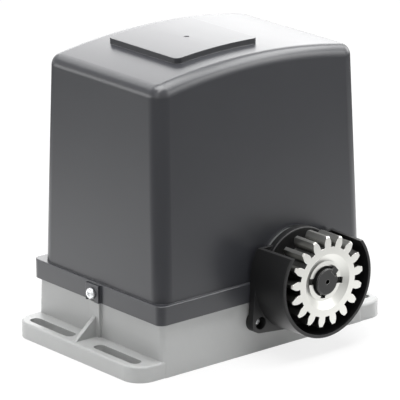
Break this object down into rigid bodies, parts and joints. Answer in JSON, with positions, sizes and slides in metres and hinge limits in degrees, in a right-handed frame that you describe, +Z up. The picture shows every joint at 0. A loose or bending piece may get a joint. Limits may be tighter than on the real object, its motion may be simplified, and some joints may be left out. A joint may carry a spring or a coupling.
{
  "type": "sliding gate motor",
  "caption": "Sliding gate drive unit: upright motor on a worm gearbox in a cast base, under a lift-off hood, with a guarded rack pinion on the cross shaft.",
  "frame": {"origin": "centre of the base's underside, on the ground", "axes": "+X along the gate and the longest side, -Y towards the gate and the pinion, +Z up"},
  "size_m": [0.264, 0.2141, 0.2489],
  "materials": {
    "base_paint": "light grey powder coat on die-cast aluminium",
    "hood_plastic": "dark grey moulded plastic, satin",
    "guard_plastic": "black moulded plastic",
    "gear_steel": "turned and zinc-plated steel",
    "shaft_steel": "ground steel, oiled",
    "screw_zinc": "zinc-plated",
    "case_aluminium": "die-cast, machined faces",
    "bearing_steel": "ground and polished",
    "seal_rubber": "matt black",
    "wheel_bronze": "machined bronze",
    "winding_copper": "enamelled wire",
    "core_steel": "stacked sheet",
    "sheet_steel": "zinc-coated sheet",
    "board_laminate": "green laminate",
    "board_parts": "moulded",
    "terminal_plastic": "moulded",
    "can_plastic": "moulded",
    "coil_tape": "insulating tape",
    "fan_plastic": "moulded",
    "lever_plastic": "moulded"
  },
  "bodies": {
    "root": {"base_housing": "base_paint", "cover_seal": "seal_rubber", "cover_screws": "screw_zinc", "pinion_guard": "guard_plastic", "guard_screws": "screw_zinc", "gearbox_case": "case_aluminium", "gearbox_lid": "case_aluminium", "lid_screws": "screw_zinc", "gearbox_bolts": "screw_zinc", "front_shaft_bearing": "bearing_steel", "rear_shaft_bearing": "bearing_steel", "shaft_seal": "seal_rubber", "worm_lower_bearing": "bearing_steel", "worm_upper_bearing": "bearing_steel", "motor_lower_shield": "case_aluminium", "motor_upper_shield": "case_aluminium", "motor_bearing": "bearing_steel", "stator_core": "core_steel", "stator_windings": "winding_copper", "motor_bolts": "screw_zinc", "board_bracket": "sheet_steel", "bracket_screws": "screw_zinc", "control_board": "board_laminate", "board_spacers": "screw_zinc", "board_screws": "screw_zinc", "relays": "board_parts", "terminal_blocks": "terminal_plastic", "fuse_holder": "board_parts", "processor": "board_parts", "board_capacitors": "board_parts", "transformer_core": "core_steel", "transformer_coil": "coil_tape", "run_capacitor": "can_plastic", "capacitor_clip": "sheet_steel", "limit_sensor": "board_parts", "release_barrel": "screw_zinc"},
    "output": {"output_shaft": "shaft_steel", "pinion": "gear_steel", "pinion_key": "shaft_steel", "worm_wheel": "wheel_bronze", "wheel_clip": "screw_zinc"},
    "rotor": {"worm_shaft": "gear_steel", "rotor_core": "core_steel", "fan": "fan_plastic"},
    "cover": {"cover": "hood_plastic"},
    "release": {"release_lever": "lever_plastic"}
  },
  "joints": [
    {"name": "rotor_turn", "type": "hinge", "parent": "root", "child": "rotor", "pos_m": [-0.017, -0.02, 0.0615], "axis": [0, 0, 1], "continuous": true},
    {"name": "output_turn", "type": "hinge", "parent": "root", "child": "output", "pos_m": [0.03, 0, 0.0615], "axis": [0, 1, 0], "continuous": true},
    {"name": "cover_lift", "type": "slide", "parent": "root", "child": "cover", "axis": [0, 0, 1], "range_m": [0, 0.18]},
    {"name": "release_turn", "type": "hinge", "parent": "root", "child": "release", "pos_m": [0.03, 0.08, 0.03], "axis": [0, -1, 0], "range_deg": [0, 90]}
  ],
  "couplings": [
    {"joint": "output_turn", "follows": "rotor_turn", "ratio": 0.033333}
  ]
}
